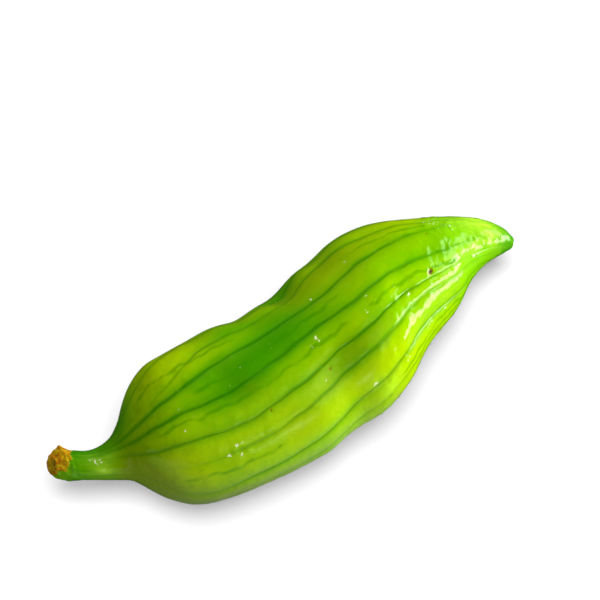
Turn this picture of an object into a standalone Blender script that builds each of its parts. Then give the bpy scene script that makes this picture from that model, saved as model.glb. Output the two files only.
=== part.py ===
"""A stuffing cucumber, the fruit of Cyclanthera pedata, as picked and lying on its side.

The fruit lies along X, its stalk toward -X and its beak toward +X, and rests on the plane Z = 0.
It grew as one piece, so it is one mesh: a ring at the cut end of the stalk, extruded ring by ring
through oval sections that wander with the fruit, and closed at the tip of the beak. Grooves between
the ribs, swellings and dents then raise or lower that skin.
"""

import math
import random

import bmesh
import bpy
import numpy as np

MM = 0.001

# Sections across X, in millimetres: x, the centre's y and z, then half of the width and of the height.
SECTIONS = (
    (-78.3, 6.1, 18.9, 2.9, 2.9),
    (-77.4, 5.7, 18.7, 3.8, 3.8),
    (-75.5, 4.8, 18.4, 4.6, 4.6),
    (-72.0, 3.1, 17.8, 4.7, 4.7),
    (-68.0, 0.9, 17.6, 4.7, 4.7),
    (-64.0, -0.6, 17.8, 5.6, 5.6),
    (-60.0, -1.7, 18.2, 7.6, 7.2),
    (-57.0, -2.9, 18.6, 10.9, 10.1),
    (-54.0, -3.4, 19.0, 14.7, 13.0),
    (-50.0, -3.6, 19.6, 18.6, 16.0),
    (-45.0, -3.5, 20.0, 21.5, 18.5),
    (-38.0, -3.8, 20.3, 23.0, 19.7),
    (-28.0, -4.0, 20.5, 23.9, 20.4),
    (-18.0, -3.9, 20.5, 24.5, 20.9),
    (-8.0, -3.5, 20.4, 24.5, 20.9),
    (4.0, -1.5, 20.5, 23.8, 20.6),
    (14.0, 0.5, 21.0, 25.3, 21.5),
    (24.0, 4.2, 20.9, 25.1, 21.3),
    (34.0, 8.0, 20.0, 22.7, 19.6),
    (43.0, 10.0, 19.5, 19.6, 17.3),
    (52.0, 11.1, 19.0, 15.6, 14.0),
    (60.0, 12.9, 18.0, 11.8, 11.0),
    (67.0, 13.2, 17.0, 9.1, 8.7),
    (73.0, 12.2, 16.0, 6.9, 6.5),
    (77.0, 11.0, 15.0, 5.0, 4.8),
    (79.6, 9.8, 14.2, 3.0, 3.0),
    (80.7, 9.3, 13.9, 1.2, 1.2),
)

# The tip of the beak, in millimetres from the middle of the last section.
TIP = (0.5, -0.2, -0.2)

# Rings of the mesh, as runs of (x where the run ends, number of rings), from the stalk's rim.
RING_RUNS = ((-72.0, 8), (-62.0, 4), (-42.0, 11), (62.0, 32), (76.0, 6), (79.6, 3), (80.7, 2))

# Grooves between the ribs. Angles in degrees go round the fruit from its top, over the -Y side, and are
# given at these places along X, in millimetres: stalk, shoulder, belly, waist, bulge, its foot, beak, tip.
GROOVE_PLACES = (-64.0, -52.0, -28.0, -5.0, 15.0, 38.0, 60.0, 74.0)
FRONT_GROOVES = (
    (-36, -14, -32, -40, -44, -34, -27, -18),
    (-20, -7, -13, -18, -16, -13, -11, 2),
    (-4, 6, 10.5, 2, 4, 11, 22, 34),
    (18, 27, 34, 27, 24, 30, 45, 64),
    (36, 47, 51, 43, 38, 41, 58, 80),
    (56, 79, 79, 72, 62, 61, 79, 101),
    (76, 98, 98, 92, 81, 82, 97, 118),
)
UNDER_GROOVE = (170, 182, 180, 180, 178, 180, 187, 200)

# Grooves spaced evenly on the two stretches between those, and how far each wanders from that, in degrees.
GROOVES_TO_UNDER = 3
GROOVES_BEHIND = 5
GROOVE_WANDER = 1.6
GROOVE_SEED = 5
COLUMNS_PER_RIB = 4

# Depth of the grooves at each x, in millimetres, and how round the ribs between them are.
RIB_DEPTH = ((-80, 0.1), (-68, 0.25), (-57, 0.45), (-45, 0.65), (15, 0.75), (45, 0.7), (68, 0.35), (80, 0.05))
RIB_ROUNDNESS = 0.5

# Swellings and dents: x, angle, height, half-length along the fruit and half-width round it, in
# millimetres and degrees. The small one at the stalk's end is a torn lip.
LUMPS = (
    (-42, -38, 1.4, 8, 8),
    (-21, -55, 0.5, 4, 7),
    (-13, -60, -0.7, 3, 6),
    (-10, -28, -1.4, 8, 13),
    (1.5, -58, -2.2, 3.5, 6),
    (10, -60, 0.6, 3, 5),
    (5, -88, 1.8, 7, 6),
    (17, -60, -0.8, 4, 6),
    (2, 36, -1.3, 6, 4),
    (-7, 50, 0.8, 6, 5),
    (-56, 70, -1.2, 4, 7),
    (37, 104, -1.0, 5, 6),
    (30, -31, -0.8, 8, 6),
    (-22, 228, 1.0, 12, 9),
    (26, 250, 1.3, 10, 10),
    (-34, 255, 1.3, 10, 9),
    (-75.2, -62, 0.8, 0.9, 1.5),
)

# Smaller lumps strewn over all but the underside.
SMALL_LUMPS = 60
SMALL_LUMP_PLACES = (-52, 66)
SMALL_LUMP_ANGLE = 150
SMALL_LUMP_HEIGHT = 0.45
SMALL_LUMP_HALF_LENGTHS = (3.5, 8.0)
SMALL_LUMP_HALF_WIDTHS = (3.5, 6.0)
SMALL_LUMP_SEED = 11

# The cut end of the stalk: rings as (share of its radius, depth of the ring below its rim), the slope of
# the cut and how far that slope reaches along the stalk, in millimetres and degrees.
END_RINGS = ((0.86, -0.5), (0.66, -0.6), (0.46, -0.1), (0.28, 0.8), (0.12, 1.2))
CUT_SLOPE = 30.0
CUT_REACH = 6.0

# The corky knob at the stalk's end: its length and the height of its knobs, in millimetres, then the
# two waves round it that make them, as (number round it, radians of twist in each millimetre).
KNOB_REACH = 8.0
KNOB_ROUGHNESS = 0.3
KNOB_WAVES = ((5, 1.1), (3, -2.3))

# How much of the underside is flat from resting, in millimetres.
FLAT_DEPTH = 1.0

SKIN_COLOUR = (0.25, 0.50, 0.01, 1.0)
SKIN_ROUGHNESS = 0.35


def clear_scene():
    """Remove whatever the scene holds."""
    for thing in list(bpy.data.objects):
        bpy.data.objects.remove(thing, do_unlink=True)


def smooth_through(places, values, wanted):
    """Read a smooth curve through the given values at the wanted places."""
    slopes = np.gradient(values, places)
    left = np.clip(np.searchsorted(places, wanted, side="right") - 1, 0, len(places) - 2)
    width = places[left + 1] - places[left]
    t = (wanted - places[left]) / width
    return (
        (2 * t**3 - 3 * t**2 + 1) * values[left]
        + (t**3 - 2 * t**2 + t) * width * slopes[left]
        + (3 * t**2 - 2 * t**3) * values[left + 1]
        + (t**3 - t**2) * width * slopes[left + 1]
    )


def ring_places():
    """The x of every ring of the skin."""
    places = [SECTIONS[0][0]]
    for end, count in RING_RUNS:
        places.extend(np.linspace(places[-1], end, count + 1)[1:])
    return np.array(places)


def sections_at(x):
    """Centre, half-width and half-height of the plain sections at each x."""
    sections = np.array(SECTIONS)
    y, z, wide, high = (smooth_through(sections[:, 0], column, x) for column in sections[:, 1:].T)
    return np.stack([x, y, z], axis=1), wide, high


def groove_rows():
    """Angles of every groove at GROOVE_PLACES, one row a groove, in turn round the fruit."""
    dice = random.Random(GROOVE_SEED)
    front = np.array(FRONT_GROOVES, float)
    under = np.array(UNDER_GROOVE, float)
    rows = list(front)
    for first, last, count in ((front[-1], under, GROOVES_TO_UNDER), (under, front[0] + 360.0, GROOVES_BEHIND)):
        for step in range(1, count + 1):
            wander = dice.uniform(-GROOVE_WANDER, GROOVE_WANDER)
            rows.append(first + (last - first) * step / (count + 1) + wander)
        if last is under:
            rows.append(under)
    return rows


def groove_angles(x):
    """Angle of every groove at each x, as one row a ring."""
    places = np.array(GROOVE_PLACES)
    inside = np.clip(x, places[0], places[-1])
    return np.stack([smooth_through(places, row, inside) for row in groove_rows()], axis=1)


def column_angles(x):
    """Angle of each column of the mesh, and how far each lies from one groove to the next."""
    grooves = groove_angles(x)
    following = np.concatenate([grooves[:, 1:], grooves[:, :1] + 360.0], axis=1)
    shares = np.arange(COLUMNS_PER_RIB) / COLUMNS_PER_RIB
    angles = grooves[:, :, None] + (following - grooves)[:, :, None] * shares
    across = np.tile(shares, grooves.shape[1])
    return np.radians(angles.reshape(len(x), -1)), across


def lump_list():
    """The named lumps, then the small ones."""
    dice = random.Random(SMALL_LUMP_SEED)
    lumps = list(LUMPS)
    for _ in range(SMALL_LUMPS):
        place = dice.uniform(*SMALL_LUMP_PLACES)
        angle = dice.uniform(-SMALL_LUMP_ANGLE, SMALL_LUMP_ANGLE)
        height = dice.uniform(-SMALL_LUMP_HEIGHT, SMALL_LUMP_HEIGHT)
        half_length = dice.uniform(*SMALL_LUMP_HALF_LENGTHS)
        lumps.append((place, angle, height, half_length, dice.uniform(*SMALL_LUMP_HALF_WIDTHS)))
    return lumps


def rib_height(x, across):
    """Height of the rounded ribs, zero on their crests."""
    places, depths = np.array(RIB_DEPTH, float).T
    crest = np.sin(np.pi * across) ** RIB_ROUNDNESS
    return np.interp(x, places, depths)[:, None] * (crest - 1.0)[None, :]


def lump_height(x, angles, radius):
    """Height of all the lumps together."""
    height = np.zeros_like(angles)
    for place, angle, tall, half_length, half_width in lump_list():
        turn = (angles - math.radians(angle) + math.pi) % (2 * math.pi) - math.pi
        away = ((x - place) / half_length)[:, None] ** 2 + (turn * radius[:, None] / half_width) ** 2
        height = height + tall * np.exp(-0.5 * away)
    return height


def knob_height(from_end, angles):
    """Height of the corky knob's roughness, which fades along the stalk."""
    (many, twist), (few, counter) = KNOB_WAVES
    rough = np.sin(many * angles + twist * from_end) * np.cos(few * angles + counter * from_end)
    return KNOB_ROUGHNESS * np.clip(1.0 - from_end / KNOB_REACH, 0.0, 1.0) * rough


def skin_points():
    """Every ring of the skin from the stalk's rim to the beak, in millimetres."""
    x = ring_places()
    centres, wide, high = sections_at(x)
    angles, across = column_angles(x)
    from_end = (x - x[0])[:, None]
    height = rib_height(x, across) + lump_height(x, angles, wide) + knob_height(from_end, angles)
    wide = wide[:, None]
    high = high[:, None]
    outward = np.stack([0 * angles, -np.sin(angles) / wide, np.cos(angles) / high], axis=2)
    points = centres[:, None, :] + outward * np.stack([0 * wide, wide**2, high**2], axis=2)
    points += outward / np.linalg.norm(outward, axis=2)[..., None] * height[..., None]
    cut = np.clip(1.0 - from_end / CUT_REACH, 0.0, 1.0)
    points[..., 0] += np.cos(angles) * high * math.tan(math.radians(CUT_SLOPE)) * cut
    return points


def end_points(rim):
    """Rings of the cut end: from the rim over a low lip and down into the pit in its middle."""
    middle = rim.mean(axis=0)
    return [middle + (rim - middle) * share + (depth, 0.0, 0.0) for share, depth in END_RINGS]


def rest_on_floor(rings):
    """Lower the fruit until its underside is flat to FLAT_DEPTH, and centre it over the origin."""
    points = np.concatenate(rings)
    floor = points[:, 2].min() + FLAT_DEPTH
    middle = (points.min(axis=0) + points.max(axis=0)) / 2
    settled = [ring - (middle[0], middle[1], floor) for ring in rings]
    for ring in settled:
        ring[:, 2] = np.maximum(ring[:, 2], 0.0)
    return settled


def extrude_ring(bm, ring, points):
    """Extrude a ring of vertices onto the next ring of points, and return the new ring."""
    edges = [bm.edges.get((ring[i], ring[i - 1])) for i in range(len(ring))]
    made = bmesh.ops.extrude_edge_only(bm, edges=edges)
    fresh = {part for part in made["geom"] if isinstance(part, bmesh.types.BMVert)}
    following = []
    for vertex, point in zip(ring, points):
        upper = next(e.other_vert(vertex) for e in vertex.link_edges if e.other_vert(vertex) in fresh)
        upper.co = point * MM
        following.append(upper)
    return following


def close_ring(bm, ring, point):
    """Close a ring with a fan of triangles to one point."""
    tip = bm.verts.new(point * MM)
    for i in range(len(ring)):
        bm.faces.new((ring[i - 1], ring[i], tip))


def fruit_mesh():
    """The whole fruit as one closed mesh."""
    skin = skin_points()
    stalk_end = end_points(skin[0])
    tip = skin[-1].mean(axis=0, keepdims=True) + TIP
    *rings, tip = rest_on_floor(stalk_end[::-1] + list(skin) + [tip])
    bm = bmesh.new()
    first = bmesh.ops.create_circle(bm, segments=len(rings[0]), radius=1.0)["verts"]
    for vertex, point in zip(first, rings[0]):
        vertex.co = point * MM
    ring = first
    for points in rings[1:]:
        ring = extrude_ring(bm, ring, points)
    close_ring(bm, first, rings[0].mean(axis=0))
    close_ring(bm, ring, tip[0])
    bmesh.ops.recalc_face_normals(bm, faces=bm.faces)
    mesh = bpy.data.meshes.new("fruit")
    bm.to_mesh(mesh)
    bm.free()
    mesh.shade_smooth()
    return mesh


def skin_material():
    """Glossy yellow-green skin."""
    material = bpy.data.materials.new("fruit_skin")
    material.use_nodes = True
    shader = material.node_tree.nodes["Principled BSDF"]
    shader.inputs["Base Color"].default_value = SKIN_COLOUR
    shader.inputs["Roughness"].default_value = SKIN_ROUGHNESS
    shader.inputs["Metallic"].default_value = 0.0
    return material


def main():
    """Build the fruit."""
    clear_scene()
    fruit = bpy.data.objects.new("fruit", fruit_mesh())
    fruit.data.materials.append(skin_material())
    bpy.context.scene.collection.objects.link(fruit)


if __name__ == "__main__":
    main()
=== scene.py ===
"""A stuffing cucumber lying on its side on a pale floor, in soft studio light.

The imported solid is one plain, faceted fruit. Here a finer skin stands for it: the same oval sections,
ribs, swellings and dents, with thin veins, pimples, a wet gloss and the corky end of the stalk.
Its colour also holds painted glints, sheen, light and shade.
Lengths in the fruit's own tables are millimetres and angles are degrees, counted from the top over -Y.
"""

import logging
import math
import random
from collections.abc import Sequence
from dataclasses import dataclass, replace
from enum import Enum
from typing import Any

import bpy
import numpy as np
from mathutils import Matrix, Vector


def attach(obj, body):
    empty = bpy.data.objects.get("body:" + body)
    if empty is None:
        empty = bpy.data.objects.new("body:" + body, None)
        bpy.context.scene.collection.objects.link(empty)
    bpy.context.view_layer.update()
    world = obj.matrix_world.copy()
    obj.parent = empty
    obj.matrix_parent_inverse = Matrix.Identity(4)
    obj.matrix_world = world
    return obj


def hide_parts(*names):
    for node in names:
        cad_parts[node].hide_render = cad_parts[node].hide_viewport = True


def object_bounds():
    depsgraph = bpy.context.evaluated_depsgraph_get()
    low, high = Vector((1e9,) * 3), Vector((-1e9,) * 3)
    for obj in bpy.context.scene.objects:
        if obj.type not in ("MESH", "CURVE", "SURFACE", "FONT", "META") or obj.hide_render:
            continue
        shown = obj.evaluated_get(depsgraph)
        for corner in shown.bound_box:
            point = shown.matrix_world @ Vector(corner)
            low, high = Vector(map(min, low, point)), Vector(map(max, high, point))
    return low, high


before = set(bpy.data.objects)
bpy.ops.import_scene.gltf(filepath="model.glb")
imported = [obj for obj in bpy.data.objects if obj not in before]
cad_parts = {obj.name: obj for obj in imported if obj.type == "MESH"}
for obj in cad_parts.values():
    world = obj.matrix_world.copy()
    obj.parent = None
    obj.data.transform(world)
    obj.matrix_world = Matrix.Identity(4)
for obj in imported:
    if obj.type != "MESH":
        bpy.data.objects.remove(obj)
SOLID_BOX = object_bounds()

log = logging.getLogger("stuffing_cucumber")

MM = 0.001
# A wave's start is drawn from nought to about a full turn, in radians.
FULL_TURN = 6.3
# Angles all round the fruit, in degrees.
AROUND = (-180, 180)
Pair = tuple[float, float]
Pairs = tuple[Pair, ...]
Rows = tuple[tuple[float, ...], ...]
Colour = tuple[float, float, float, float]
Piece = bpy.types.Object
Socket = bpy.types.NodeSocket
Group = bpy.types.NodeTree


class Tone(Enum):
    """Colours that lie over the skin in broad patches: yellow is partly ripe tint and partly painted light,
    olive mostly painted shade, and pale green a painted sheen.
    """

    YELLOW = "ripe yellow"
    GREEN = "deep green"
    OLIVE_AND_SHADE = "olive_and_painted_shade"
    PAINTED_SHEEN = "pale green"


@dataclass(frozen=True)
class Swelling:
    """A soft round patch on the skin, used for lumps, dents, pimples and colours.

    place is its x, angle its place round the fruit, amount its height in millimetres or its strength,
    and half_length and half_width how far it reaches along and round the fruit, in millimetres.
    """

    place: float
    angle: float
    amount: float
    half_length: float
    half_width: float


Swellings = tuple[Swelling, ...]


def swellings(*rows: tuple[float, ...]) -> Swellings:
    """Make a Swelling from each row of its five numbers."""
    return tuple(Swelling(*row) for row in rows)


def deselect_all() -> None:
    """Deselect every object, so that operators act on new ones only."""
    if bpy.context.object and bpy.context.object.mode != "OBJECT":
        bpy.ops.object.mode_set(mode="OBJECT")
    bpy.ops.object.select_all(action="DESELECT")


def open_with_edges(piece: Piece, chosen: Sequence[bool]) -> None:
    """Open the active piece in edit mode with only the chosen edges selected.

    Args:
        piece: The piece.
        chosen: Whether each edge is chosen.
    """
    bpy.ops.object.mode_set(mode="EDIT")
    bpy.ops.mesh.select_mode(type="EDGE")
    bpy.ops.mesh.select_all(action="DESELECT")
    bpy.ops.object.mode_set(mode="OBJECT")
    piece.data.edges.foreach_set("select", chosen)
    bpy.ops.object.mode_set(mode="EDIT")


def smooth_through(places: Any, values: Any, wanted: np.ndarray) -> np.ndarray:
    """Read a smooth curve through the given values.

    Args:
        places: Where the values are given, in rising order.
        values: The value at each place.
        wanted: Where to read the curve.

    Returns:
        The curve's value at each wanted place.
    """
    places = np.array(places, float)
    values = np.array(values, float)
    slopes = np.gradient(values, places)
    left = np.clip(np.searchsorted(places, wanted, side="right") - 1, 0, len(places) - 2)
    width = places[left + 1] - places[left]
    t = (wanted - places[left]) / width
    return (
        (2 * t**3 - 3 * t**2 + 1) * values[left]
        + (t**3 - 2 * t**2 + t) * width * slopes[left]
        + (3 * t**2 - 2 * t**3) * values[left + 1]
        + (t**3 - t**2) * width * slopes[left + 1]
    )


def half_turn(angles: np.ndarray) -> np.ndarray:
    """Bring angles in radians to within half a turn of nought."""
    return (angles + math.pi) % (2 * math.pi) - math.pi


@dataclass(frozen=True)
class FruitForm:
    """The fruit's main form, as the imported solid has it: sections, grooves, ribs, swellings and dents."""

    # x, the centre's y and z, then half of the width and of the height.
    sections: Rows = (
        (-78.3, 6.1, 18.9, 2.9, 2.9), (-77.4, 5.7, 18.7, 3.8, 3.8), (-75.5, 4.8, 18.4, 4.6, 4.6),
        (-72, 3.1, 17.8, 4.7, 4.7), (-68, 0.9, 17.6, 4.7, 4.7), (-64, -0.6, 17.8, 5.6, 5.6),
        (-60, -1.7, 18.2, 7.6, 7.2), (-57, -2.9, 18.6, 10.9, 10.1), (-54, -3.4, 19, 14.7, 13),
        (-50, -3.6, 19.6, 18.6, 16), (-45, -3.5, 20, 21.5, 18.5), (-38, -3.8, 20.3, 23, 19.7),
        (-28, -4, 20.5, 23.9, 20.4), (-18, -3.9, 20.5, 24.5, 20.9), (-8, -3.5, 20.4, 24.5, 20.9),
        (4, -1.5, 20.5, 23.8, 20.6), (14, 0.5, 21, 25.3, 21.5), (24, 4.2, 20.9, 25.1, 21.3),
        (34, 8, 20, 22.7, 19.6), (43, 10, 19.5, 19.6, 17.3), (52, 11.1, 19, 15.6, 14), (60, 12.9, 18, 11.8, 11),
        (67, 13.2, 17, 9.1, 8.7), (73, 12.2, 16, 6.9, 6.5), (77, 11, 15, 5, 4.8), (79.6, 9.8, 14.2, 3, 3),
        (80.7, 9.3, 13.9, 1.2, 1.2),
    )
    groove_places: tuple[float, ...] = (-64.0, -52.0, -28.0, -5.0, 15.0, 38.0, 60.0, 74.0)
    front_grooves: Rows = (
        (-36, -14, -32, -40, -44, -34, -27, -18), (-20, -7, -13, -18, -16, -13, -11, 2),
        (-4, 6, 10.5, 2, 4, 11, 22, 34), (18, 27, 34, 27, 24, 30, 45, 64), (36, 47, 51, 43, 38, 41, 58, 80),
        (56, 79, 79, 72, 62, 61, 79, 101), (76, 98, 98, 92, 81, 82, 97, 118),
    )
    under_groove: tuple[float, ...] = (170, 182, 180, 180, 178, 180, 187, 200)
    grooves_to_under: int = 3
    grooves_behind: int = 5
    groove_wander: float = 1.6
    groove_seed: int = 5
    rib_depth: Pairs = (
        (-80, 0.1), (-68, 0.25), (-57, 0.45), (-45, 0.65), (15, 0.75), (45, 0.7), (68, 0.35), (80, 0.05),
    )
    rib_roundness: float = 0.5
    lumps: Swellings = swellings(
        (-42, -38, 1.4, 8, 8), (-21, -55, 0.5, 4, 7), (-13, -60, -0.7, 3, 6), (-10, -28, -1.4, 8, 13),
        (1.5, -58, -2.2, 3.5, 6), (10, -60, 0.6, 3, 5), (5, -88, 1.8, 7, 6), (17, -60, -0.8, 4, 6),
        (2, 36, -1.3, 6, 4), (-7, 50, 0.8, 6, 5), (-56, 70, -1.2, 4, 7), (37, 104, -1, 5, 6),
        (30, -31, -0.8, 8, 6), (-22, 228, 1, 12, 9), (26, 250, 1.3, 10, 10), (-34, 255, 1.3, 10, 9),
        (-75.2, -62, 0.8, 0.9, 1.5),
    )
    small_lumps: int = 60
    small_lump_seed: int = 11
    # What the small lumps' numbers are drawn from, in a Swelling's order.
    small_lump_ranges: Pairs = (
        (-52, 66), (-150, 150), (-0.45, 0.45), (3.5, 8), (3.5, 6),
    )
    # The middle of the lying fruit's box and its flat underside, as these tables' numbers have them.
    resting_place: tuple[float, float, float] = (0.49, 1.385, 0.6245)

    def sections_at(self, x: np.ndarray) -> tuple[np.ndarray, np.ndarray, np.ndarray]:
        """Read the plain sections.

        Args:
            x: Places along the fruit.

        Returns:
            The centre, half-width and half-height at each place.
        """
        table = np.array(self.sections)
        y, z, wide, high = (smooth_through(table[:, 0], column, x) for column in table[:, 1:].T)
        return np.stack([x, y, z], axis=1), wide, high

    def along_grooves(self, rows: Sequence[Any], x: np.ndarray) -> np.ndarray:
        """Read values that are given at the groove places.

        Args:
            rows: The values of each groove in turn.
            x: Places along the fruit.

        Returns:
            One row a place, with the value of each groove.
        """
        inside = np.clip(x, self.groove_places[0], self.groove_places[-1])
        return np.stack([smooth_through(self.groove_places, row, inside) for row in rows], axis=1)

    def groove_angles(self, x: np.ndarray) -> np.ndarray:
        """Read where the grooves run.

        Args:
            x: Places along the fruit.

        Returns:
            One row a place, with the angle of each groove in turn round the fruit.
        """
        dice = random.Random(self.groove_seed)
        front = np.array(self.front_grooves, float)
        under = np.array(self.under_groove, float)
        rows = list(front)
        for first, last, count in (
            (front[-1], under, self.grooves_to_under),
            (under, front[0] + 360.0, self.grooves_behind),
        ):
            for step in range(1, count + 1):
                wander = dice.uniform(-self.groove_wander, self.groove_wander)
                rows.append(first + (last - first) * step / (count + 1) + wander)
            if last is under:
                rows.append(under)
        return self.along_grooves(rows, x)

    def all_lumps(self) -> Swellings:
        """List the named lumps, then the small ones strewn over all but the underside.

        Returns:
            All the lumps.
        """
        dice = random.Random(self.small_lump_seed)
        rows = ([dice.uniform(*ends) for ends in self.small_lump_ranges] for _ in range(self.small_lumps))
        return self.lumps + swellings(*rows)

    def rib_height(self, x: np.ndarray, across: np.ndarray) -> np.ndarray:
        """Work out the rounded ribs.

        Args:
            x: Each ring's place along the fruit.
            across: Each column's place across its rib, from 0 to 1.

        Returns:
            The height for each ring and column, zero on the crests.
        """
        places, depths = np.array(self.rib_depth, float).T
        crest = np.sin(np.pi * across) ** self.rib_roundness
        return np.interp(x, places, depths)[:, None] * (crest - 1.0)[None, :]


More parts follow.
